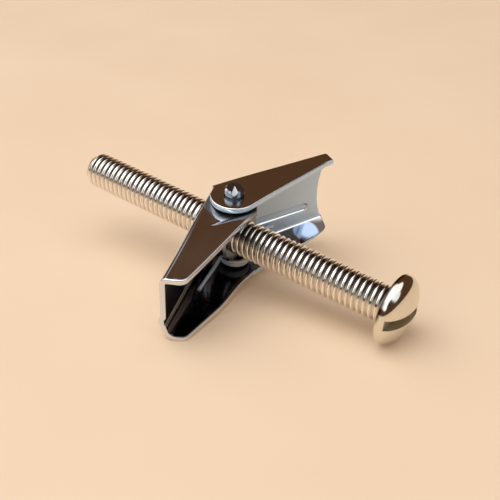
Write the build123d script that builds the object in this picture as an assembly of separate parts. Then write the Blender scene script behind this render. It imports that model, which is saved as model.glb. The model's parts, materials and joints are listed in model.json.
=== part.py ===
from build123d import *
from math import cos, radians, sin
import os

# Spring toggle wall anchor: machine screw, trunnion nut, torsion spring and two folding wings.
# Row frame, in mm: origin at the centre of the head's bearing face, +X out of the wall along the
# screw, +Z along the pins that the wings turn on. Every node is built where it sits when open.

# Screw, M6 x 60 with its length at the low end of the tolerance
PITCH = 1.0
CREST_R = 2.97
ROOT_R = 2.40
CREST_HALF = 0.07
ROOT_HALF = 0.40
SCREW_LENGTH = 59.2
TIP_CHAMFER = 0.9
HEAD_R = 5.5
HEAD_HEIGHT = 3.4
HEAD_LIP = 0.8
NECK_R = 3.25
NECK_LENGTH = 0.4
SLOT_WIDTH = 1.7
SLOT_DEPTH = 1.9
SLOT_TURN = -9.5

# Trunnion nut
PIVOT_X = -29.0
EYE_R = 4.5
EYE_HALF_LENGTH = 1.6
SHOULDER_Z = 3.35
PIN_R = 1.4
PIN_TOP_Z = 8.9
STAKE_R = 1.52
STAKE_NOTCH_WIDTH = 1.5
STAKE_NOTCH_START = 0.45
STAKE_NOTCH_SLOPE = 20
STAKE_NOTCH_TURN = 124
NUT_MINOR_R = 2.52
NUT_MAJOR_R = 3.05

# Wings, folded from sheet
SHEET = 0.9
OPEN_ANGLE = 68.0
LEAN = -1.7
WEB_OFFSET = 4.55
WEB_START = -1.42
WING_LENGTH = 20.4
EDGE_SLOPE = 0.288
BEND_R = 1.1
OUTER_HALF_HEIGHT = 7.5
INNER_HALF_HEIGHT = 6.5
OUTER_EAR_R = 3.85
INNER_EAR_R = 3.60
INNER_EDGE_OFFSET = 4.44
EAR_HOLE_R = 1.46
NOTCH_R = 3.4
NOTCH_END = 3.25
SCALLOP_DEPTH = 1.2
RIB_Z = -2.7
RIB_START = 4.6
RIB_END = 16.6

# Torsion spring
WIRE_R = 0.35
COIL_R = 2.15
COIL_SHIFT = 0.37
COIL_TOP_Z = -3.73
COIL_PITCH = 0.71
LEG_LENGTH = 9.5
LEG_SPLAY = 6.4


def thread_ridge(root_r, crest_r, crest_half, root_half, turns, start):
    """One closed ridge of a screw thread, wound round Z from the height start."""
    corners = ((root_r, -root_half), (root_r, root_half), (crest_r, crest_half), (crest_r, -crest_half))
    edges = []
    for radius, offset in corners:
        edges.append(Edge.make_helix(PITCH, PITCH * turns, radius).moved(Location((0, 0, start + offset))))
    faces = []
    for i in range(4):
        faces.append(Face.make_surface_from_curves(edges[i], edges[(i + 1) % 4]))
    faces.append(Face(Wire.make_polygon([edge @ 0 for edge in edges], close=True)))
    faces.append(Face(Wire.make_polygon([edge @ 1 for edge in edges], close=True)))
    return Solid(Shell(faces))


def rod_on_z(root_r, crest_r, crest_half, root_half, bottom, top):
    """A threaded rod round Z, a little longer than bottom to top. Its ridge passes whole millimetres."""
    first = int(bottom) - 2
    turns = int(top) + 2 - first
    ridge = thread_ridge(root_r - 0.06, crest_r, crest_half, root_half, turns, first)
    core = Pos(0, 0, first - 1) * Cylinder(root_r, turns + 2, align=(Align.CENTER, Align.CENTER, Align.MIN))
    return core + ridge


def along_x(shape):
    """Turn a shape built round Z so that Z runs along X."""
    return Rot(0, 90, 0) * shape


def revolved(points):
    """A solid turned round Z from (radius, height) points."""
    profile = Polyline(*[(r, 0, z) for r, z in points], close=True)
    return revolve(make_face(profile), Axis.Z, 360)


def build_screw():
    """Slotted round-head screw, threaded up to the head."""
    chamfer_r = CREST_R + 0.05 - TIP_CHAMFER * 0.75
    blank = revolved([
        (0, -SCREW_LENGTH), (chamfer_r, -SCREW_LENGTH), (CREST_R + 0.05, -SCREW_LENGTH + TIP_CHAMFER),
        (CREST_R + 0.05, 0.5), (0, 0.5)])
    shank = rod_on_z(ROOT_R, CREST_R, CREST_HALF, ROOT_HALF, -SCREW_LENGTH, 0) & blank
    neck = revolved([
        (0, -NECK_LENGTH), (NECK_R - NECK_LENGTH, -NECK_LENGTH), (NECK_R, 0), (NECK_R, 0.2), (0, 0.2)])
    dome = EllipticalCenterArc((0, HEAD_LIP), HEAD_R, HEAD_HEIGHT - HEAD_LIP, arc_size=90)
    rest = Polyline((0, HEAD_HEIGHT), (0, 0), (HEAD_R, 0), (HEAD_R, HEAD_LIP))
    head = revolve(Plane.XZ * make_face([dome, rest]), Axis.Z, 360)
    head = fillet(head.edges().filter_by(GeomType.CIRCLE).sort_by(Axis.Z)[0], 0.25)
    head -= Rot(0, 0, SLOT_TURN) * Pos(0, 0, HEAD_HEIGHT) * Box(SLOT_WIDTH, 4 * HEAD_R, 2 * SLOT_DEPTH)
    return along_x(shank + neck + head)


def build_nut():
    """Flat threaded eye with a pin on each side."""
    eye = along_x(Cylinder(EYE_R, 2 * EYE_HALF_LENGTH))
    eye &= Box(10 * EYE_R, 10 * EYE_R, 2 * SHOULDER_Z)
    rims = eye.edges().filter_by(GeomType.CIRCLE)
    eye = chamfer(rims, 0.35)
    pin = revolved([
        (0, 2.0), (PIN_R, 2.0), (PIN_R, OUTER_HALF_HEIGHT + 0.1), (STAKE_R, OUTER_HALF_HEIGHT + 0.35),
        (STAKE_R, PIN_TOP_Z - 0.25), (STAKE_R - 0.25, PIN_TOP_Z), (0, PIN_TOP_Z)])
    chisel = Rot(45, 0, 0) * Box(6 * PIN_R, STAKE_NOTCH_WIDTH, STAKE_NOTCH_WIDTH)
    chisel = Rot(0, -STAKE_NOTCH_SLOPE, 0) * Pos(0, 0, STAKE_NOTCH_WIDTH * sin(radians(45))) * chisel
    pin -= Pos(0, 0, PIN_TOP_Z) * Rot(0, 0, STAKE_NOTCH_TURN) * Pos(STAKE_NOTCH_START, 0, 0) * chisel
    body = eye + pin + mirror(pin, Plane.XY)
    tap = rod_on_z(NUT_MINOR_R, NUT_MAJOR_R, 0.14, 0.46, PIVOT_X - 4, PIVOT_X + 4)
    return Pos(PIVOT_X, 0, 0) * body - along_x(tap)


def edge_point(offset, u):
    """Point at u on the line of a wing's free edge, which passes the pivot at the distance offset."""
    slant = (1 + EDGE_SLOPE**2) ** 0.5
    return (u, offset * slant - EDGE_SLOPE * u)


def flange_outline(ear_r, edge_offset, back_corner, front_points):
    """A wing seen along the pin. u runs from the pivot to the tip, v from the web to the open side."""
    tip = (WING_LENGTH, -WEB_OFFSET)
    tip_inner = edge_point(edge_offset, WING_LENGTH - 0.5)
    blade = make_face(Polyline(*[(0, 0)] + back_corner + [tip, tip_inner] + front_points, close=True))
    corner = blade.vertices().sort_by_distance((*tip_inner, 0))[0]
    blade = fillet(corner, 1.2)
    return blade + Circle(ear_r)


def build_wing(half_height, outline, hollow_end):
    """A wing in its own (u, v, z) axes, with the pin's axis at the origin."""
    long = WING_LENGTH - WEB_START + 8
    start = Align.MIN
    middle = Align.CENTER
    outside = Pos(-6, -WEB_OFFSET, 0) * Box(long, 20, 2 * half_height, align=(start, start, middle))
    web_edges = outside.edges().filter_by(Axis.X).group_by(Axis.Y)[0]
    outside = fillet(web_edges, BEND_R)
    inside = Pos(-7, SHEET - WEB_OFFSET, 0) * Box(
        long + 2, 20, 2 * (half_height - SHEET), align=(start, start, middle))
    web_edges = inside.edges().filter_by(Axis.X).group_by(Axis.Y)[0]
    inside = fillet(web_edges, BEND_R - SHEET)
    wing = outside - inside
    wing &= extrude(outline, half_height + 1, both=True)
    wing -= Cylinder(EAR_HOLE_R, 4 * half_height)

    # Clearance for the screw and the eye at the web's root, and the hollow end of one web.
    across = Rot(90, 0, 0)
    notch_centre = NOTCH_END - NOTCH_R
    wing -= Pos(notch_centre, 0, 0) * across * Cylinder(NOTCH_R, 30)
    wing -= Pos(notch_centre, 0, 0) * Box(20, 30, 2 * NOTCH_R, align=(Align.MAX, middle, middle))
    wing -= Pos(WEB_START, SHEET - WEB_OFFSET, 0) * Box(
        20, 20, 2 * (half_height - SHEET), align=(Align.MAX, Align.MAX, middle))
    if hollow_end:
        reach = half_height - 1.4
        scallop_r = (reach**2 + SCALLOP_DEPTH**2) / (2 * SCALLOP_DEPTH)
        wing -= Pos(WING_LENGTH - SCALLOP_DEPTH + scallop_r, 0, 0) * across * Cylinder(scallop_r, 30)

    # Stiffening rib pressed outwards, low on the web.
    rib_v = SHEET - WEB_OFFSET
    for radius, adds in ((1.35, True), (0.55, False)):
        rod = Cylinder(radius, RIB_END - RIB_START, align=(middle, middle, start))
        bead = Pos(RIB_START, rib_v, RIB_Z) * Rot(0, 90, 0) * rod
        bead += Pos(RIB_START, rib_v, RIB_Z) * Sphere(radius)
        bead += Pos(RIB_END, rib_v, RIB_Z) * Sphere(radius)
        if adds:
            wing += bead & (Pos(0, rib_v, 0) * Box(90, 90, 90, align=(middle, Align.MAX, middle)))
        else:
            wing -= bead
    return wing


def placed_wing(wing, side):
    """Stand a wing at its open angle, on the +Y side for side 1 and the -Y side for side -1. Both lean with
    the nut, by the slack of its thread."""
    if side > 0:
        wing = mirror(wing, Plane.XZ)
    return Pos(PIVOT_X, 0, 0) * Rot(0, 0, side * OPEN_ANGLE + LEAN) * wing


def build_outer_wing():
    """The wider wing. Its ears go outside the other wing's."""
    contact = (-3.24, -2.08)
    edge_start = edge_point(OUTER_EAR_R, OUTER_EAR_R * 0.277)
    outline = flange_outline(
        OUTER_EAR_R, OUTER_EAR_R, [contact, (WEB_START, -WEB_OFFSET)], [edge_start])
    return placed_wing(build_wing(OUTER_HALF_HEIGHT, outline, True), 1)


def build_inner_wing():
    """The narrower wing. Its ears turn inside the other wing's channel, so they are trimmed."""
    front = [edge_point(INNER_EDGE_OFFSET, 1.55), (-0.99, 3.46)]
    outline = flange_outline(
        INNER_EAR_R, INNER_EDGE_OFFSET, [(WEB_START, 0), (WEB_START, -WEB_OFFSET)], front)
    return placed_wing(build_wing(INNER_HALF_HEIGHT, outline, False), -1)


def build_spring():
    """Two turns round the lower pin, with a leg along the inside of each web."""
    leg_angle = OPEN_ANGLE + LEG_SPLAY
    first_angle = 90 + leg_angle
    turns = 2 + (180 - first_angle) / 180
    coil_path = Edge.make_helix(COIL_PITCH, COIL_PITCH * turns, COIL_R)
    start_plane = Plane(coil_path @ 0, z_dir=coil_path % 0)
    coil = sweep(start_plane * Circle(WIRE_R), coil_path, is_frenet=True)
    coil = Rot(0, 0, first_angle) * Rot(180, 0, 0) * coil
    spring = coil
    for side, height in ((1, 0), (-1, -COIL_PITCH * turns)):
        angle = radians(leg_angle)
        root = (-COIL_R * sin(angle), side * COIL_R * cos(angle), height)
        leg = Cylinder(WIRE_R, LEG_LENGTH, align=(Align.CENTER, Align.CENTER, Align.MIN))
        leg = Rot(0, 0, side * leg_angle) * Rot(0, 90, 0) * leg
        spring += Pos(*root) * (leg + Sphere(WIRE_R))
    return Pos(PIVOT_X, 0, 0) * Rot(0, 0, LEAN) * Pos(COIL_SHIFT, 0, COIL_TOP_Z) * spring


os.makedirs("parts", exist_ok=True)
nodes = {
    "machine_screw": build_screw(),
    "trunnion_nut": build_nut(),
    "torsion_spring": build_spring(),
    "outer_wing": build_outer_wing(),
    "inner_wing": build_inner_wing(),
}
for name, shape in nodes.items():
    export_step(shape, f"parts/{name}.step")
    print(name, round(shape.volume, 1), shape.is_valid, len(shape.solids()))
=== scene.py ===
import json
from math import atan2, ceil, cos, pi, radians, sin, sqrt

import bmesh
import bpy
from mathutils import Matrix, Vector, noise
from mathutils.geometry import delaunay_2d_cdt


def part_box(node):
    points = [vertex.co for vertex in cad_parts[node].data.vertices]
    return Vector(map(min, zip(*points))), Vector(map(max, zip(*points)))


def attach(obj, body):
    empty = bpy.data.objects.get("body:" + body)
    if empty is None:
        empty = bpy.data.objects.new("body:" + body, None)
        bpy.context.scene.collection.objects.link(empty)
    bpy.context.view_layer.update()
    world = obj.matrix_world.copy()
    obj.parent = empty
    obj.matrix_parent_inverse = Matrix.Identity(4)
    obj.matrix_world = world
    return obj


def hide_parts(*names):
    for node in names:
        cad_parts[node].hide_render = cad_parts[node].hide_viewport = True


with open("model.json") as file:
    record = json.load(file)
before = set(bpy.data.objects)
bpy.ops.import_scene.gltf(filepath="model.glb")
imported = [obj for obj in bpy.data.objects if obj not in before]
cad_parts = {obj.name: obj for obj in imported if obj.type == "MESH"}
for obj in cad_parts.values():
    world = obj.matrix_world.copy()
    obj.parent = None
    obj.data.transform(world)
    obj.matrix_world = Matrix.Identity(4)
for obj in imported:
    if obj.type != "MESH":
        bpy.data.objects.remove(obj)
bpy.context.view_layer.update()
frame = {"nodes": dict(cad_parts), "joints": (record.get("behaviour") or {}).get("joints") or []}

# Shapes are worked out in millimetres in the row frame and scaled when their meshes are made.
MM = 0.001
joints = {joint["name"]: joint for joint in frame["joints"]}
PIVOT_X = joints["outer_wing_fold"]["pos_m"][0] / MM
SCREW_LOW, SCREW_HIGH = (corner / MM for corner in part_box("machine_screw"))
OUTER_HALF_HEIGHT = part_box("outer_wing")[1].z / MM
INNER_HALF_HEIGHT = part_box("inner_wing")[1].z / MM
PIN_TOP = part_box("trunnion_nut")[1].z / MM

# Screw
PITCH = 1.0
CREST_R = 2.97
ROOT_R = 2.40
TIP_CHAMFER = 0.9
CHAMFER_SLOPE = 0.75
THREAD_PHASE = 0.25
SHANK_END = 0.25
HEAD_R = SCREW_HIGH.y
HEAD_HEIGHT = 3.4
HEAD_LIP = 0.8
NECK_R = 3.25
NECK_LENGTH = 0.4
SLOT_WIDTH = 1.7
SLOT_DEPTH = 1.9
SLOT_TURN = radians(-9.5)

# Wings
SHEET = 0.9
EDGE_R = 0.16
OPEN_ANGLE = radians(68)
LEAN = radians(-1.7)
WEB_OFFSET = 4.55
WEB_START = -1.42
EDGE_SLOPE = 0.288
BEND_R = 1.1
OUTER_EAR_R = 3.85
INNER_EAR_R = 3.60
INNER_EDGE_OFFSET = 4.44
EAR_HOLE_R = 1.46
NOTCH_R = 3.4
NOTCH_END = 3.25
NOTCH_CORNER_R = 0.3
ROOT_INSET = 0.3
ROOT_CORNER_R = 0.4
WEB_END_INSET = 1.6
BEND_GAP = 0.05
OUTER_EAR_END = radians(212.8)
INNER_EAR_START = radians(106)
INNER_EAR_END = radians(245)
RIB_Z = -2.7
RIB_START = 4.6
RIB_HEIGHT = 0.32
RIB_HALF_WIDTH = 0.85

# Where along a wing its bends, flares and tapers start to grow, and the length over which they do
BEND_FROM, BEND_RUN = 4, 9
FLARE_FROM, FLARE_RUN = 9, 11
TAPER_FROM, TAPER_RUN, TAPER_GAIN = 1, 23, 1.08
# A bend's length in the flat blank, as a share of its outer arc
BEND_SHARE = 0.75
# The pad is pressed above this height v, and as far from the ear as u + v reaches
PAD_LOW_V = -2.6
PAD_REACH = 6.2

# What each wing's press work did to it towards the tip, as (upper, lower) where there are two values:
# how much lower the flange lies, the bend's radius, and how far the flange stays short of square.
# The web leans out by spread, its end is hollow by the depth given, the pad is pressed into the ear,
# and the web's rib ends at rib_end, or runs out at the end of the wing.
OUTER_FORM = {"length": 20.0, "tapers": (0.3, 0.72), "tip_bends": (1.15, 1.55),
              "flares": (0.0, radians(28)), "spread": 0.0, "hollow": 1.2, "pad": 0.0, "rib_end": 16.2}
INNER_FORM = {"length": 20.7, "tapers": (0.6, 0.6), "tip_bends": (1.3, 2.3),
              "flares": (0.0, 0.0), "spread": 0.5, "hollow": 0.0, "pad": 0.4, "rib_end": 22.0}

# How each wing's parts look, painted light and shade among them. The web's look stops at the height web_top
# over it, and the inner wing's near-black web is painted shade. The inside levels are where the masks of the
# bends' inner faces and of the flanges' inner faces start and end: the outer wing's white bends are a
# painted highlight and its dark flange insides a painted dark reflection, and the inner wing's dark bends
# and insides are painted shade. The glint is a painted reflection, a bright spot (u, v, z, radius) on the
# lower flange, and the radius given last is that of painted shade under the other wing's ear, where the
# sheet is also rougher.
OUTER_LOOK = {"web": (0.64, 0.82, 1.0, 1), "web_roughness": 0.36, "web_metallic": 0.3, "web_top": 30.0,
              "bend": (1.0, 1.0, 1.0, 1), "inside": (0.13, 0.10, 0.09, 1),
              "inside_levels": (1.2, 2.4, 4.8, 5.6),
              "painted_glint": (15.7, -1.8, -6.9, 2.1), "painted_glint_colour": (0.46, 0.58, 0.80, 1)}
INNER_LOOK = {"web": (0.10, 0.10, 0.12, 1), "web_roughness": 0.22, "web_metallic": 1.0, "web_top": 1.8,
              "bend": (0.09, 0.09, 0.11, 1), "inside": (0.09, 0.09, 0.11, 1),
              "inside_levels": (1.2, 3.0, 1.2, 3.0), "ear_shade": 4.6}

# Direction that the chisel's mark on the pin's end faces, where a highlight is painted
CHISEL_MARK = (-0.451, -0.596, 0.664)

# Spring
WIRE_R = 0.31
COIL_R = 2.15
COIL_SHIFT = 0.37
COIL_TOP_Z = -3.93
COIL_PITCH = 0.64
LEG_LENGTH = 9.5
LEG_ANGLE = OPEN_ANGLE + radians(6.4)
# The wire winds by two turns and the rest of the way from one leg to the other
COIL_ANGLE = 5 * pi - 2 * LEG_ANGLE
# The outer leg lies this much higher than the coil's end, which it clears as it folds
LEG_STEP = 0.1


# ---------------------------------------------------------------- mesh helpers

def new_object(name, verts, faces, smooth=True):
    """A mesh object from points in millimetres, with outward normals."""
    mesh = bpy.data.meshes.new(name)
    mesh.from_pydata([Vector(v) * MM for v in verts], [], faces)
    shape = bmesh.new()
    shape.from_mesh(mesh)
    bmesh.ops.remove_doubles(shape, verts=shape.verts, dist=1e-7)
    bmesh.ops.recalc_face_normals(shape, faces=shape.faces)
    shape.to_mesh(mesh)
    shape.free()
    if smooth:
        mesh.shade_smooth()
    else:
        mesh.shade_flat()
    item = bpy.data.objects.new(name, mesh)
    bpy.context.scene.collection.objects.link(item)
    return item


def weight_normals(item):
    """Let large faces keep their own direction, so that flat metal mirrors flat."""
    modifier = item.modifiers.new("weighted_normals", "WEIGHTED_NORMAL")
    modifier.mode = "FACE_AREA"
    modifier.weight = 100
    modifier.keep_sharp = True


def lathe(name, profile, segments=128):
    """A closed solid turned round X from (x, radius) points whose first and last radius is 0."""
    verts = [(profile[0][0], 0, 0), (profile[-1][0], 0, 0)]
    inner = profile[1:-1]
    for x, r in inner:
        for i in range(segments):
            angle = 2 * pi * i / segments
            verts.append((x, r * cos(angle), r * sin(angle)))
    faces = []
    for i in range(segments):
        j = (i + 1) % segments
        faces.append((0, 2 + i, 2 + j))
        last = 2 + (len(inner) - 1) * segments
        faces.append((1, last + j, last + i))
        for k in range(len(inner) - 1):
            a = 2 + k * segments
            b = a + segments
            faces.append((a + i, b + i, b + j, a + j))
    return new_object(name, verts, faces)


def arc(centre, radius, start, end, step=0.22):
    """Points from the angle start to the angle end, in radians, both included."""
    count = max(2, ceil(abs(end - start) * radius / step))
    points = []
    for i in range(count + 1):
        angle = start + (end - start) * i / count
        points.append((centre[0] + radius * cos(angle), centre[1] + radius * sin(angle)))
    return points


def rounded(points, radii):
    """A closed outline with arcs at the corners that have a radius."""
    result = []
    count = len(points)
    for i, point in enumerate(points):
        radius = radii[i]
        if not radius:
            result.append(point)
            continue
        corner = Vector(point)
        before = (Vector(points[i - 1]) - corner)
        after = (Vector(points[(i + 1) % count]) - corner)
        half = before.angle(after) / 2
        reach = min(radius / abs(sin(half) / cos(half)), before.length * 0.48, after.length * 0.48)
        radius = reach * abs(sin(half) / cos(half))
        bisector = (before.normalized() + after.normalized()).normalized()
        centre = corner + bisector * (radius / sin(half))
        start = corner + before.normalized() * reach - centre
        end = corner + after.normalized() * reach - centre
        first = atan2(start.y, start.x)
        turn = (atan2(end.y, end.x) - first + pi) % (2 * pi) - pi
        result += arc(centre, radius, first, first + turn, 0.12)
    return result


def divided(points, step=0.3):
    """A closed outline with no side longer than step and no repeated point."""
    result = []
    count = len(points)
    for i in range(count):
        a = Vector(points[i])
        b = Vector(points[(i + 1) % count])
        if (b - a).length < 0.02:
            continue
        parts = max(1, ceil((b - a).length / step))
        for k in range(parts):
            result.append(a.lerp(b, k / parts))
    return result


def offset_loop(points, distance):
    """The outline moved to its left, which is into the sheet."""
    result = []
    count = len(points)
    for i in range(count):
        before = (points[i] - points[i - 1]).normalized()
        after = (points[(i + 1) % count] - points[i]).normalized()
        tangent = (before + after).normalized()
        stretch = max(0.6, tangent.dot(after))
        result.append(points[i] + Vector((-tangent.y, tangent.x)) * (distance / stretch))
    return result


def inside(point, loop):
    """True if the point is within the closed loop."""
    hit = False
    x, y = point
    previous = loop[-1]
    for current in loop:
        if (current.y > y) != (previous.y > y):
            if x < (previous.x - current.x) * (y - current.y) / (previous.y - current.y) + current.x:
                hit = not hit
        previous = current
    return hit


def near(point, loops, distance):
    """True if the point is within distance of a point of the loops."""
    limit = distance * distance
    x, y = point
    for loop in loops:
        for corner in loop:
            if (corner.x - x) ** 2 + (corner.y - y) ** 2 < limit:
                return True
    return False


def flat_mesh(cap_loops, columns, rows):
    """Points and triangles that fill the first loop round the others, with grid points inside, and
    the index that each point of the loops has among them."""
    flat = []
    edges = []
    for loop in cap_loops:
        first = len(flat)
        flat += loop
        edges += [(first + i, first + (i + 1) % len(loop)) for i in range(len(loop))]
    for u in columns:
        for q in rows:
            point = Vector((u, q))
            if not inside(point, cap_loops[0]) or near(point, cap_loops, 0.16):
                continue
            if any(inside(point, loop) for loop in cap_loops[1:]):
                continue
            flat.append(point)
    flat, _, triangles, origins, _, _ = delaunay_2d_cdt(flat, edges, [], 1, 1e-5)
    kept = []
    for triangle in triangles:
        centre = sum((flat[i] for i in triangle), Vector((0, 0))) / 3
        if not any(inside(centre, loop) for loop in cap_loops[1:]):
            kept.append(triangle)
    new_index = {}
    for new, old_points in enumerate(origins):
        for old in old_points:
            new_index[old] = new
    return flat, kept, new_index


def rim_profile():
    """(inset, depth) points round a sheet's edge, from its outer to its inner skin."""
    steps = 3
    rim = []
    for k in range(1, steps + 1):
        angle = pi / 2 * k / steps
        rim.append((EDGE_R * (1 - sin(angle)), EDGE_R * (1 - cos(angle))))
    return rim + [(inset, SHEET - depth) for inset, depth in reversed(rim)]


def sheet_object(name, outline, holes, columns, rows, place):
    """A formed sheet with rounded edges. place(u, q, depth) gives the formed position of a point
    of the flat blank, at a depth under the sheet's outer skin."""
    loops = [outline] + holes
    flat, kept, new_index = flat_mesh([offset_loop(loop, EDGE_R) for loop in loops], columns, rows)
    verts = [place(p.x, p.y, 0) for p in flat]
    faces = [tuple(t) for t in kept]
    under = len(verts)
    verts += [place(p.x, p.y, SHEET) for p in flat]
    faces += [tuple(under + i for i in reversed(t)) for t in kept]
    first = 0
    for loop in loops:
        count = len(loop)
        ring = [new_index[first + i] for i in range(count)]
        last_ring = [under + i for i in ring]
        for inset, depth in rim_profile():
            start = len(verts)
            verts += [place(p.x, p.y, depth) for p in offset_loop(loop, inset)]
            next_ring = list(range(start, start + count))
            for i in range(count):
                j = (i + 1) % count
                faces.append((ring[i], next_ring[i], next_ring[j], ring[j]))
            ring = next_ring
        for i in range(count):
            j = (i + 1) % count
            faces.append((ring[i], last_ring[i], last_ring[j], ring[j]))
        first += count
    item = new_object(name, verts, faces)
    weight_normals(item)
    return item


def levels(start, end, step):
    """Evenly spaced values from start to end, no further apart than step."""
    count = max(1, ceil((end - start) / step))
    return [start + (end - start) * i / count for i in range(count + 1)]


def smooth_step(value):
    """0 below 0, 1 above 1 and a soft ramp between."""
    value = min(1.0, max(0.0, value))
    return value * value * (3 - 2 * value)


# ---------------------------------------------------------------- wings

def edge_point(offset, u):
    """Point at u on the line of a wing's free edge, which passes the pivot at the distance offset."""
    return (u, offset * sqrt(1 + EDGE_SLOPE**2) - EDGE_SLOPE * u)


def wing_object(name, side, half_height, form, flanges):
    """A wing folded from its flat blank. flanges holds the upper and the lower flange's edge, each as
    points (u, v, corner radius) from the tip round the ear to the web's root."""
    angle_out = OPEN_ANGLE + side * LEAN
    length = form["length"]

    def web_at(u):
        """Height v of the web's outer skin."""
        return -WEB_OFFSET - form["spread"] * u / length

    def bend(u, lower):
        """(radius, angle, blank position where the bend starts, and where it ends) at u."""
        radius = BEND_R + (form["tip_bends"][lower] - BEND_R) * smooth_step((u - BEND_FROM) / BEND_RUN)
        angle = pi / 2 - form["flares"][lower] * smooth_step((u - FLARE_FROM) / FLARE_RUN)
        taper = form["tapers"][lower] * smooth_step((u - TAPER_FROM) / TAPER_RUN) * TAPER_GAIN
        start = half_height - taper - radius
        return radius, angle, start, start + BEND_SHARE * radius * angle

    def blank_q(u, v, lower):
        """How far from the web's middle line the flange's point (u, v) lies in the flat blank."""
        radius, angle, _, end = bend(u, lower)
        return end + (v - web_at(u) - radius * (1 - cos(angle))) / sin(angle)

    def formed(u, q, depth):
        """Row-frame position of a point of the flat blank at a depth under its outer skin."""
        lower = q < 0
        a = abs(q)
        radius, full_angle, start, end = bend(u, lower)
        raised = 0.02 * noise.noise(Vector((u * 0.16 + 7 * side, q * 0.16, 3.1)))
        if a <= start:
            across = (q - RIB_Z) / RIB_HALF_WIDTH
            past_end = max(0.0, RIB_START - u, u - form["rib_end"]) / RIB_HALF_WIDTH
            rib = max(0.0, 1 - across**2 - past_end**2)
            raised += RIB_HEIGHT * smooth_step(rib * 1.15)
            v, z = web_at(u) + depth - raised, a
        else:
            angle = full_angle * min(1.0, (a - start) / (end - start))
            beyond = max(0.0, a - end)
            if beyond and not lower:
                flange_v = web_at(u) + radius + beyond
                above = smooth_step((flange_v - PAD_LOW_V) / 2.0)
                near_ear = smooth_step((PAD_REACH - u - flange_v) / 0.9)
                raised -= form["pad"] * above * near_ear
            bent = radius - depth + raised
            v = web_at(u) + radius - bent * cos(angle) + beyond * sin(angle)
            z = start + bent * sin(angle) + beyond * cos(angle)
        z = -z if lower else z
        x = PIVOT_X + u * cos(angle_out) + v * sin(angle_out)
        y = side * (u * sin(angle_out) - v * cos(angle_out))
        return (x, y, z)

    ends = [bend(length, lower)[2:] for lower in (False, True)]
    reach = half_height - WEB_END_INSET
    hollow = form["hollow"]
    if hollow:
        scallop_r = (reach**2 + hollow**2) / (2 * hollow)
        swing = atan2(reach, scallop_r - hollow)
        end_edge = arc((length - hollow + scallop_r, 0), scallop_r, pi + swing, pi - swing, 0.3)
    else:
        end_edge = [(length, -reach), (length, reach)]
    points = [(u, q, 0) for u, q in end_edge]
    points.append((length, ends[0][1] + BEND_GAP, 0))
    points += [(u, blank_q(u, v, False), r) for u, v, r in flanges[0]]
    root_q = bend(WEB_START, False)[2] - ROOT_INSET
    points += [(WEB_START, root_q, ROOT_CORNER_R), (WEB_START, NOTCH_R, NOTCH_CORNER_R)]
    points += [(u, q, 0) for u, q in arc((NOTCH_END - NOTCH_R, 0), NOTCH_R, pi / 2, -pi / 2)]
    points += [(WEB_START, -NOTCH_R, NOTCH_CORNER_R), (WEB_START, -root_q, ROOT_CORNER_R)]
    points += [(u, -blank_q(u, v, True), r) for u, v, r in reversed(flanges[1])]
    points.append((length, -ends[1][1] - BEND_GAP, 0))
    outline = divided(rounded([(u, q) for u, q, _ in points], [r for _, _, r in points]))
    hole_q = blank_q(0, 0, False)
    holes = []
    for centre_q in (hole_q, -hole_q):
        holes.append(divided(arc((0, centre_q), EAR_HOLE_R, 0, -2 * pi)[:-1]))
    web_end = min(ends[0][0], ends[1][0])
    flange_start = bend(0, False)[3]
    rows = set()
    flange_rows = flange_start + 0.1
    for low, high, step in (
            (0, web_end, 0.45), (web_end, flange_rows, 0.13), (flange_rows, flange_start + 10, 0.4)):
        rows |= {round(sign * q, 4) for q in levels(low, high, step) for sign in (1, -1)}
    rows |= {round(RIB_Z + d, 4) for d in levels(-1.2, 1.2, 0.12)}
    columns = levels(-4.5, length, 0.4)
    return sheet_object(name, outline, holes, columns, sorted(rows), formed)


def outer_flange(lower):
    """The wider wing's flange: tip, free edge, round ear and the slope back to the web's root."""
    length = OUTER_FORM["length"]
    edge_touches = atan2(1, EDGE_SLOPE)
    ear = arc((0, 0), OUTER_EAR_R, edge_touches, OUTER_EAR_END)
    if lower:
        points = [(*edge_point(OUTER_EAR_R, length - 0.2), 1.2)]
    else:
        tip_u, tip_v = edge_point(OUTER_EAR_R, length - 0.1)
        points = [(tip_u, tip_v + 0.25, 0.1), (*edge_point(OUTER_EAR_R, length - 1.7), 1.0)]
    points += [(u, v, 0) for u, v in ear]
    points.append((-1.95, -WEB_OFFSET + BEND_R + 0.1, 0.5))
    return points


def inner_flange(lower):
    """The narrower wing's flange, trimmed to turn inside the other wing's channel."""
    ear = arc((0, 0), INNER_EAR_R, INNER_EAR_START, INNER_EAR_END)
    tip_inner = edge_point(INNER_EDGE_OFFSET, INNER_FORM["length"] - 0.3)
    points = [(*tip_inner, 1.3 if lower else 1.6)]
    points.append((*edge_point(INNER_EDGE_OFFSET, 1.55), 0.8))
    points += [(u, v, 0) for u, v in ear]
    return points


# ---------------------------------------------------------------- screw

def thread_profile():
    """(distance along one pitch, radius) points of the thread, from crest to crest."""
    half = [(0.0, 0.0), (0.06, 0.008), (0.105, 0.03), (0.14, 0.07), (0.18, 0.135), (0.23, 0.235),
            (0.29, 0.36), (0.35, 0.485), (0.39, 0.54), (0.43, 0.566), (0.5, CREST_R - ROOT_R)]
    points = [(t, CREST_R - drop) for t, drop in half]
    points += [(1 - t, CREST_R - drop) for t, drop in reversed(half[:-1])]
    return points


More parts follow.
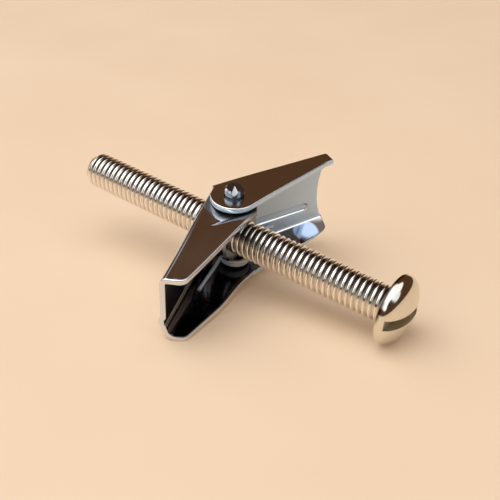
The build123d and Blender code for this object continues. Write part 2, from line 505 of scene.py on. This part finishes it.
def screw_shank():
    """The threaded shank, a single helical grid cut square at the tip and inside the head."""
    around = 72
    low = SCREW_LOW.x
    start = int(low) - 2 + THREAD_PHASE
    turns = int(SHANK_END - start) + 2
    profile = thread_profile()
    rows = len(profile) - 1
    columns = around * turns
    chamfer_r = CREST_R - TIP_CHAMFER * CHAMFER_SLOPE

    def radius_at(x, radius):
        """The thread's radius, limited by the tip's chamfer and by the cone under the head."""
        tip_limit = chamfer_r + (x - low) * CHAMFER_SLOPE if x < low + TIP_CHAMFER else CREST_R
        neck = NECK_R + min(x, 0) if x > -NECK_LENGTH else 0
        return max(min(radius, max(tip_limit, chamfer_r)), neck)

    verts = []
    for i in range(columns + 1):
        angle = 2 * pi * i / around
        for t, radius in profile[:rows]:
            x = start + PITCH * (i / around + t)
            r = radius_at(x, radius)
            verts.append((x, r * cos(angle), r * sin(angle)))
    faces = []
    for i in range(columns):
        for k in range(rows):
            a = i * rows + k
            b = a + rows
            if k < rows - 1:
                faces.append((a, b, b + 1, a + 1))
                continue
            over = (i + around) * rows
            if i + around + 1 <= columns:
                faces.append((a, b, over + rows, over))
    item = new_object("screw_shank", verts, faces)
    shape = bmesh.new()
    shape.from_mesh(item.data)
    for x, outward in ((low, -1), (SHANK_END, 1)):
        everything = shape.verts[:] + shape.edges[:] + shape.faces[:]
        cut = bmesh.ops.bisect_plane(
            shape, geom=everything, plane_co=(x * MM, 0, 0), plane_no=(outward, 0, 0), clear_outer=True)
        rim = [e for e in cut["geom_cut"] if isinstance(e, bmesh.types.BMEdge)]
        bmesh.ops.edgeloop_fill(shape, edges=rim)
    bmesh.ops.recalc_face_normals(shape, faces=shape.faces)
    shape.to_mesh(item.data)
    shape.free()
    item.data.shade_smooth()
    item.data.set_sharp_from_angle(angle=radians(50))
    return item


def screw_head():
    """Round head, turned, without its slot."""
    profile = [(0.0, 0.0), (0.0, 2.0), (0.0, HEAD_R - 0.45), (0.03, HEAD_R - 0.3), (0.1, HEAD_R - 0.12),
               (0.22, HEAD_R - 0.03), (0.4, HEAD_R), (0.6, HEAD_R)]
    steps = 44
    for i in range(steps + 1):
        angle = pi / 2 * i / steps
        x = HEAD_LIP + (HEAD_HEIGHT - HEAD_LIP) * sin(angle)
        profile.append((x, HEAD_R * cos(angle) if i < steps else 0.0))
    return lathe("screw_head", profile, 192)


def screw_slot_cutter():
    """The milling cutter's path through the head, from the slot's floor to beyond its mouth."""
    low = HEAD_HEIGHT - SLOT_DEPTH
    mouth = HEAD_HEIGHT + 1
    half = SLOT_WIDTH / 2
    long = HEAD_R * 2
    verts = []
    for end in (-long, long):
        for across, x in ((-half, mouth), (-half, low), (half, low), (half, mouth)):
            y = end * cos(SLOT_TURN) - across * sin(SLOT_TURN)
            z = end * sin(SLOT_TURN) + across * cos(SLOT_TURN)
            verts.append((x, y, z))
    faces = [(0, 1, 2, 3), (4, 7, 6, 5)]
    for i in range(4):
        j = (i + 1) % 4
        faces.append((i, 4 + i, 4 + j, j))
    return new_object("slot_cutter", verts, faces, smooth=False)


def apply_modifiers(item):
    """Give the object the mesh that its modifiers make."""
    graph = bpy.context.evaluated_depsgraph_get()
    mesh = bpy.data.meshes.new_from_object(item.evaluated_get(graph))
    item.modifiers.clear()
    item.data = mesh


def slotted_head():
    """The head with its slot cut and the slot's edges broken."""
    head = screw_head()
    cutter = screw_slot_cutter()
    cut = head.modifiers.new("slot", "BOOLEAN")
    cut.operation = "DIFFERENCE"
    cut.object = cutter
    cut.solver = "EXACT"
    apply_modifiers(head)
    bpy.data.objects.remove(cutter)
    bevel = head.modifiers.new("broken_edge", "BEVEL")
    bevel.width = 0.09 * MM
    bevel.segments = 3
    bevel.limit_method = "ANGLE"
    bevel.angle_limit = radians(40)
    bevel.harden_normals = False
    head.data.shade_smooth()
    weight_normals(head)
    return head


# ---------------------------------------------------------------- spring

def tube(name, path, radius, around=20):
    """A round wire along a list of points, with flat ends."""
    verts = []
    faces = []
    side = None
    for i, point in enumerate(path):
        tangent = (path[min(i + 1, len(path) - 1)] - path[max(i - 1, 0)]).normalized()
        if side is None:
            side = tangent.cross(Vector((0, 0, 1))).normalized()
        side = (side - tangent * side.dot(tangent)).normalized()
        other = tangent.cross(side)
        for k in range(around):
            angle = 2 * pi * k / around
            verts.append(point + (side * cos(angle) + other * sin(angle)) * radius)
    for i in range(len(path) - 1):
        for k in range(around):
            a = i * around + k
            b = i * around + (k + 1) % around
            faces.append((a, b, b + around, a + around))
    faces.append(tuple(range(around)))
    last = (len(path) - 1) * around
    faces.append(tuple(last + k for k in reversed(range(around))))
    item = new_object(name, verts, faces)
    item.data.set_sharp_from_angle(angle=radians(50))
    return item


def leaning(x, y, z):
    """A point given from the pivot, with the lean that the wings and the spring share."""
    return Vector((PIVOT_X + x * cos(LEAN) - y * sin(LEAN), x * sin(LEAN) + y * cos(LEAN), z))


def spring_coil():
    """Two turns and a little more, wound round the lower pin."""
    path = []
    steps = 150
    for i in range(steps + 1):
        wound = COIL_ANGLE * i / steps
        angle = pi / 2 + LEG_ANGLE + wound
        height = COIL_TOP_Z - COIL_PITCH * wound / (2 * pi)
        path.append(leaning(COIL_SHIFT + COIL_R * cos(angle), COIL_R * sin(angle), height))
    return tube("spring_coil", path, WIRE_R)


def spring_leg(name, side):
    """A straight leg from the coil to the web of the wing on that side."""
    height = COIL_TOP_Z + LEG_STEP
    if side < 0:
        height = COIL_TOP_Z - COIL_PITCH * COIL_ANGLE / (2 * pi)
    path = []
    for reach in levels(0, LEG_LENGTH, LEG_LENGTH / 12):
        x = COIL_SHIFT - COIL_R * sin(LEG_ANGLE) + reach * cos(LEG_ANGLE)
        y = side * (COIL_R * cos(LEG_ANGLE) + reach * sin(LEG_ANGLE))
        path.append(leaning(x, y, height))
    return tube(name, path, WIRE_R * 0.99)


# ---------------------------------------------------------------- materials

def node_maker(owner):
    """Functions that make a node of a material or a world and that join two of its nodes."""
    tree = owner.node_tree
    tree.nodes.clear()

    def make(kind, **settings):
        node = tree.nodes.new(kind)
        for key, value in settings.items():
            setattr(node, key, value)
        return node

    def join(source, output, target, socket):
        tree.links.new(source.outputs[output], target.inputs[socket])

    return make, join


def plated_metal(name, light, dark, roughness, spread, grain, streak_turn, streak_stretch, bump):
    """Bright plated steel: cloudy tone, rolled or drawn streaks and fine marks. Returns the material,
    the functions that add to it, its shader and the nodes with its tone and its roughness."""
    material = bpy.data.materials.new(name)
    material.use_nodes = True
    make, join = node_maker(material)
    output = make("ShaderNodeOutputMaterial")
    shader = make("ShaderNodeBsdfPrincipled")
    shader.inputs["Metallic"].default_value = 1.0
    join(shader, "BSDF", output, "Surface")
    place = make("ShaderNodeTexCoord")
    turn = make("ShaderNodeMapping")
    turn.inputs["Rotation"].default_value = (0, 0, streak_turn)
    join(place, "Object", turn, "Vector")
    cloud = make("ShaderNodeTexNoise")
    cloud.inputs["Scale"].default_value = 260.0
    cloud.inputs["Detail"].default_value = 5.0
    join(turn, "Vector", cloud, "Vector")
    stretch = make("ShaderNodeMapping")
    stretch.inputs["Scale"].default_value = streak_stretch
    join(turn, "Vector", stretch, "Vector")
    streak = make("ShaderNodeTexNoise")
    streak.inputs["Scale"].default_value = grain
    streak.inputs["Detail"].default_value = 4.0
    join(stretch, "Vector", streak, "Vector")
    tone = make("ShaderNodeMix", data_type="RGBA")
    tone.inputs["A"].default_value = (*dark, 1)
    tone.inputs["B"].default_value = (*light, 1)
    join(cloud, "Fac", tone, "Factor")
    join(tone, "Result", shader, "Base Color")
    rough = make("ShaderNodeMapRange")
    rough.inputs["To Min"].default_value = roughness - spread
    rough.inputs["To Max"].default_value = roughness + spread
    join(streak, "Fac", rough, "Value")
    join(rough, "Result", shader, "Roughness")
    raised = make("ShaderNodeBump")
    raised.inputs["Strength"].default_value = bump
    raised.inputs["Distance"].default_value = 0.00002
    join(streak, "Fac", raised, "Height")
    join(raised, "Normal", shader, "Normal")
    return material, make, join, shader, tone, rough


def ramp(make, join, source, output, low, high):
    """A mask that goes smoothly from 0 at low to 1 at high."""
    mask = make("ShaderNodeMapRange", interpolation_type="SMOOTHSTEP")
    mask.inputs["From Min"].default_value = low
    mask.inputs["From Max"].default_value = high
    join(source, output, mask, "Value")
    return mask


def overlap(make, join, first, second):
    """A mask that is 1 where both masks are 1."""
    product = make("ShaderNodeMix", data_type="FLOAT")
    product.inputs["A"].default_value = 0
    join(first, "Result", product, "B")
    join(second, "Result", product, "Factor")
    return product


def along(make, join, vector, axis):
    """How far a vector, given as a node and its output, reaches along an axis."""
    reach = make("ShaderNodeVectorMath", operation="DOT_PRODUCT")
    join(*vector, reach, 0)
    reach.inputs[1].default_value = axis
    return reach


def mixed(make, join, source, mask, value):
    """The source's number or colour, which passes to a value where the mask is 1."""
    mix = make("ShaderNodeMix", data_type="RGBA" if isinstance(value, tuple) else "FLOAT")
    join(source, "Result", mix, "A")
    mix.inputs["B"].default_value = value
    join(mask, "Result", mix, "Factor")
    return mix


def head_metal():
    """The head's nickel, with painted shade in the slot and under the rim's upper edge; the slot is also
    rougher.
    """
    material, make, join, shader, tone, rough = plated_metal(
        "nickel_head", (0.82, 0.79, 0.70), (0.72, 0.69, 0.60), 0.1, 0.04, 1200, 0, (1.0, 0.3, 0.3), 0.15)
    place = (make("ShaderNodeTexCoord"), "Object")
    out = along(make, join, place, (1, 0, 0))
    up = along(make, join, place, (0, 0, 1))
    across = along(make, join, place, (0, -sin(SLOT_TURN), cos(SLOT_TURN)))
    width = make("ShaderNodeMath", operation="ABSOLUTE")
    join(across, "Value", width, 0)
    floor_x = HEAD_HEIGHT - SLOT_DEPTH
    deep = ramp(make, join, out, "Value", (floor_x - 0.1) * MM, (floor_x - 0.02) * MM)
    narrow = ramp(make, join, width, "Value", (SLOT_WIDTH / 2 + 0.06) * MM, (SLOT_WIDTH / 2 + 0.01) * MM)
    slot = overlap(make, join, deep, narrow)
    low_rim = ramp(make, join, out, "Value", 0.75 * MM, 0.3 * MM)
    upper = ramp(make, join, up, "Value", 0.3 * MM, 2.2 * MM)
    rim = overlap(make, join, low_rim, upper)
    # Painted shade: near black on the rim's upper part, and darker in the slot.
    base = mixed(make, join, tone, rim, (0.10, 0.08, 0.07, 1))
    base = mixed(make, join, base, slot, (0.60, 0.57, 0.46, 1))
    rougher = mixed(make, join, rough, slot, 0.42)
    join(base, "Result", shader, "Base Color")
    join(rougher, "Result", shader, "Roughness")
    return material


def threaded_metal():
    """The screw's nickel, with painted shade in the thread's grooves, near black on the upper side and mild
    on the rest.
    """
    material, make, join, shader, tone, rough = plated_metal(
        "nickel_thread", (0.95, 0.93, 0.90), (0.88, 0.86, 0.82), 0.12, 0.05, 1200, 0, (1.0, 0.3, 0.3), 0.15)
    place = (make("ShaderNodeTexCoord"), "Object")
    across = make("ShaderNodeVectorMath", operation="MULTIPLY")
    across.inputs[1].default_value = (0, 1, 1)
    join(*place, across, 0)
    distance = make("ShaderNodeVectorMath", operation="LENGTH")
    join(across, "Vector", distance, 0)
    groove_shade = ramp(make, join, distance, "Value", (CREST_R - 0.16) * MM, (CREST_R - 0.38) * MM)
    upper = ramp(make, join, along(make, join, place, (0, 0, 1)), "Value", 0.9 * MM, 2.1 * MM)
    # Painted shade in the grooves: mild on the lower side, near black on the upper side.
    shade = make("ShaderNodeMix", data_type="RGBA")
    shade.inputs["A"].default_value = (0.80, 0.75, 0.66, 1)
    shade.inputs["B"].default_value = (0.09, 0.065, 0.05, 1)
    join(upper, "Result", shade, "Factor")
    base = make("ShaderNodeMix", data_type="RGBA")
    join(tone, "Result", base, "A")
    join(shade, "Result", base, "B")
    join(groove_shade, "Result", base, "Factor")
    join(base, "Result", shader, "Base Color")
    join(mixed(make, join, rough, groove_shade, 0.34), "Result", shader, "Roughness")
    return material


def spot_mask(make, join, place, point, reach, soft):
    """A mask for a ball round a point, in millimetres, with a soft edge."""
    offset = make("ShaderNodeVectorMath", operation="DISTANCE")
    join(*place, offset, 0)
    offset.inputs[1].default_value = [value * MM for value in point]
    return ramp(make, join, offset, "Value", (reach + soft) * MM, reach * MM)


def wing_metal(name, side, look):
    """Zinc-plated sheet, rolled along the wing, with the looks of a wing's parts, painted light and shade
    among them, mixed in by mask.
    """
    angle = OPEN_ANGLE + side * LEAN
    towards_tip = (cos(angle), side * sin(angle), 0)
    out_of_web = (sin(angle), -side * cos(angle), 0)
    upwards = (0, 0, 1)
    material, make, join, shader, tone, rough = plated_metal(
        name, (0.78, 0.81, 0.86), (0.68, 0.72, 0.78), 0.13, 0.04, 900, -side * angle, (0.12, 1.0, 1.0), 0.25)
    normal = (make("ShaderNodeNewGeometry"), "True Normal")
    place = (make("ShaderNodeTexCoord"), "Object")

    facing = ramp(make, join, along(make, join, normal, out_of_web), "Value", 0.75, 0.95)
    web_top = PIVOT_X * sin(angle) - WEB_OFFSET + look["web_top"]
    low = ramp(make, join, along(make, join, place, out_of_web), "Value", (web_top + 0.6) * MM, web_top * MM)
    web = overlap(make, join, facing, low)

    inward = make("ShaderNodeMath", operation="MULTIPLY")
    join(along(make, join, normal, upwards), "Value", inward, 0)
    join(along(make, join, place, upwards), "Value", inward, 1)
    bend_low, bend_high, flange_low, flange_high = (-level * MM for level in look["inside_levels"])
    bend = ramp(make, join, inward, "Value", bend_low, bend_high)
    flange = ramp(make, join, inward, "Value", flange_low, flange_high)
    # A painted highlight on the outer wing's bends and a painted dark reflection on its flanges' insides;
    # painted shade on the inner wing's.
    base = mixed(make, join, tone, bend, look["bend"])
    base = mixed(make, join, base, flange, look["inside"])

    # A painted reflection: a bright spot on the lower flange's inner face.
    if "painted_glint" in look:
        u, v, z, reach = look["painted_glint"]
        point = Vector((PIVOT_X, 0, z)) + Vector(towards_tip) * u + Vector(out_of_web) * v
        painted_glint = overlap(make, join, spot_mask(make, join, place, point, reach, 0.5), flange)
        base = mixed(make, join, base, painted_glint, look["painted_glint_colour"])
    # Painted shade under the other wing's ear, where the sheet is also rougher.
    if "ear_shade" in look:
        point = (PIVOT_X, 0, INNER_HALF_HEIGHT + 0.5)
        ear_shade = spot_mask(make, join, place, point, look["ear_shade"], 1.0)
        base = mixed(make, join, base, ear_shade, (0.24, 0.27, 0.30, 1))
        rough = mixed(make, join, rough, ear_shade, 0.34)

    # The web's look, which on the inner wing is painted shade.
    join(mixed(make, join, base, web, look["web"]), "Result", shader, "Base Color")
    join(mixed(make, join, rough, web, look["web_roughness"]), "Result", shader, "Roughness")
    metallic = make("ShaderNodeMath", operation="MULTIPLY_ADD")
    join(web, "Result", metallic, 0)
    metallic.inputs[1].default_value = look["web_metallic"] - 1
    metallic.inputs[2].default_value = 1.0
    join(metallic, "Value", shader, "Metallic")
    return material


def nut_metal():
    """Dull zinc, with the bare facet that a chisel cut when it pushed the pin's end over, painted white as a
    highlight and a little rougher.
    """
    material, make, join, shader, tone, rough = plated_metal(
        "zinc_nut", (0.32, 0.35, 0.38), (0.20, 0.22, 0.25), 0.22, 0.06, 1500, 0, (1.0, 1.0, 1.0), 0.4)
    normal = (make("ShaderNodeNewGeometry"), "True Normal")
    chisel_highlight = ramp(make, join, along(make, join, normal, CHISEL_MARK), "Value", 0.985, 0.997)
    join(mixed(make, join, tone, chisel_highlight, (1.0, 0.98, 0.95, 1)), "Result", shader, "Base Color")
    join(mixed(make, join, rough, chisel_highlight, 0.3), "Result", shader, "Roughness")
    return material


def floor_material():
    """Warm, pale, faintly mottled tabletop."""
    material = bpy.data.materials.new("tabletop")
    material.use_nodes = True
    make, join = node_maker(material)
    output = make("ShaderNodeOutputMaterial")
    shader = make("ShaderNodeBsdfPrincipled")
    shader.inputs["Roughness"].default_value = 0.6
    shader.inputs["Emission Color"].default_value = (0.95, 0.62, 0.38, 1)
    shader.inputs["Emission Strength"].default_value = 0.12
    join(shader, "BSDF", output, "Surface")
    place = make("ShaderNodeTexCoord")
    cloud = make("ShaderNodeTexNoise")
    cloud.inputs["Scale"].default_value = 22.0
    cloud.inputs["Detail"].default_value = 3.0
    join(place, "Object", cloud, "Vector")
    tone = make("ShaderNodeMix", data_type="RGBA")
    tone.inputs["A"].default_value = (0.68, 0.508, 0.353, 1)
    tone.inputs["B"].default_value = (0.76, 0.588, 0.422, 1)
    join(cloud, "Fac", tone, "Factor")
    join(tone, "Result", shader, "Base Color")
    return material


def paint(item, material):
    """Give the object this material only."""
    item.data.materials.clear()
    item.data.materials.append(material)


# ---------------------------------------------------------------- the object

zinc_outer = wing_metal("zinc_outer_wing", 1, OUTER_LOOK)
zinc_inner = wing_metal("zinc_inner_wing", -1, INNER_LOOK)
nickel_thread = threaded_metal()
nickel = head_metal()
zinc_nut = nut_metal()
drawn_wire, _, _, wire_shader, _, _ = plated_metal(
    "drawn_wire", (0.80, 0.92, 1.0), (0.74, 0.86, 0.96), 0.25, 0.05, 1500, 0, (1.0, 1.0, 1.0), 0.2)
wire_shader.inputs["Metallic"].default_value = 0.35

outer_wing = wing_object("outer_wing_sheet", 1, OUTER_HALF_HEIGHT, OUTER_FORM,
                         (outer_flange(False), outer_flange(True)))
paint(outer_wing, zinc_outer)
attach(outer_wing, "outer_wing")
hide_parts("outer_wing")

inner_wing = wing_object("inner_wing_sheet", -1, INNER_HALF_HEIGHT, INNER_FORM,
                         (inner_flange(False), inner_flange(True)))
paint(inner_wing, zinc_inner)
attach(inner_wing, "inner_wing")
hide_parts("inner_wing")

shank = screw_shank()
head = slotted_head()
for piece, metal in ((shank, nickel_thread), (head, nickel)):
    paint(piece, metal)
    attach(piece, "screw")
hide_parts("machine_screw")

coil = spring_coil()
legs = {"outer_wing": spring_leg("spring_leg_outer", 1), "inner_wing": spring_leg("spring_leg_inner", -1)}
paint(coil, drawn_wire)
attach(coil, "nut")
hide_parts("torsion_spring")
for body, leg in legs.items():
    paint(leg, drawn_wire)
    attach(leg, body)

nut = frame["nodes"]["trunnion_nut"]
paint(nut, zinc_nut)


# ---------------------------------------------------------------- stage, light and camera

FLOOR_GAP = 0.05
FLOOR_SIZE = 12.0


def resting_plane():
    """Point and normal of the surface that the lower pin, the head's rim and a wing's tip stand on."""
    # The corner of the inner wing's lower flange
    u, v = INNER_FORM["length"] - 0.8, -1.8
    angle = OPEN_ANGLE - LEAN
    tip = Vector((
        PIVOT_X + u * cos(angle) + v * sin(angle),
        v * cos(angle) - u * sin(angle),
        INNER_FORM["tapers"][1] - INNER_HALF_HEIGHT))
    pin = Vector((PIVOT_X, 0, -PIN_TOP))
    rim = Vector((0.5, 0, -HEAD_R))
    normal = (rim - pin).cross(tip - pin).normalized()
    if normal.z < 0:
        normal = -normal
    return (pin - normal * FLOOR_GAP) * MM, normal


plane_point, plane_normal = resting_plane()
bpy.ops.mesh.primitive_plane_add(size=FLOOR_SIZE)
floor = bpy.context.object
floor.name = "tabletop"
floor.rotation_mode = "QUATERNION"
floor.rotation_quaternion = plane_normal.to_track_quat("Z", "Y")
floor.location = plane_point
paint(floor, floor_material())


def direction(azimuth, elevation):
    """Unit vector at an azimuth from +X towards +Y and an elevation, in degrees."""
    a, e = radians(azimuth), radians(elevation)
    return Vector((cos(a) * cos(e), sin(a) * cos(e), sin(e)))


def soft_light(name, azimuth, elevation, distance, size, power, colour):
    """A square soft light that faces the pivot."""
    data = bpy.data.lights.new(name, "AREA")
    data.shape = "RECTANGLE"
    data.size, data.size_y = size
    data.energy = power
    data.color = colour
    lamp = bpy.data.objects.new(name, data)
    bpy.context.scene.collection.objects.link(lamp)
    target = Vector((PIVOT_X * MM, 0, 0))
    away = direction(azimuth, elevation)
    lamp.location = target + away * distance
    lamp.rotation_mode = "QUATERNION"
    lamp.rotation_quaternion = away.to_track_quat("Z", "Y")


soft_light("key", -150, 68, 0.5, (0.45, 0.45), 1.0, (1.0, 0.98, 0.95))


ROOM_COLOUR = (0.09, 0.045, 0.022)
WHITE = (1.3, 1.3, 1.3)
# Azimuth, elevation, half angle and softness in degrees, and colour, each over the ones before it
WORLD_PATCHES = (
    (0, 90, 45, 3, WHITE),
    (-165, 52, 44, 3, WHITE),
    (-95, 50, 26, 4, WHITE),
    (119, 28, 28, 4, (0.095, 0.041, 0.015)),
    (2, 42, 15, 5, (1.02, 1.12, 1.26)),
    (-56, 42, 17, 4, (0.05, 0.04, 0.05)),
)


def studio_world():
    """A dim warm room with a white ceiling, white walls on two sides and dark patches between."""
    world = bpy.data.worlds.new("studio")
    bpy.context.scene.world = world
    world.use_nodes = True
    make, join = node_maker(world)
    view = (make("ShaderNodeTexCoord"), "Generated")
    colour = make("ShaderNodeMix", data_type="RGBA")
    colour.inputs["Factor"].default_value = 0
    colour.inputs["A"].default_value = (*ROOM_COLOUR, 1)
    for azimuth, elevation, half_angle, softness, tint in WORLD_PATCHES:
        nearness = along(make, join, view, direction(azimuth, elevation))
        outer = cos(radians(half_angle + softness))
        inner = cos(radians(half_angle - softness))
        patch = ramp(make, join, nearness, "Value", outer, inner)
        colour = mixed(make, join, colour, patch, (*tint, 1))
    background = make("ShaderNodeBackground")
    join(colour, "Result", background, "Color")
    join(background, "Background", make("ShaderNodeOutputWorld"), "Surface")


studio_world()
bpy.context.scene.view_settings.view_transform = "Standard"

CAMERA_AT = Vector((PIVOT_X + 67.34, -93.17, 88.21))
CAMERA_RIGHT = Vector((0.80923, 0.58661, 0.03233))
CAMERA_UP = Vector((-0.38649, 0.49011, 0.78129))
CAMERA_LENS = 64.53

camera_data = bpy.data.cameras.new("camera")
camera = bpy.data.objects.new("camera", camera_data)
bpy.context.scene.collection.objects.link(camera)
camera_data.lens = CAMERA_LENS
camera_data.sensor_width = 36.0
camera_data.clip_start = 0.005
camera_data.clip_end = 20.0
turn = Matrix((CAMERA_RIGHT, CAMERA_UP, CAMERA_RIGHT.cross(CAMERA_UP))).transposed()
camera.matrix_world = Matrix.Translation(CAMERA_AT * MM) @ turn.to_4x4()
bpy.context.scene.camera = camera
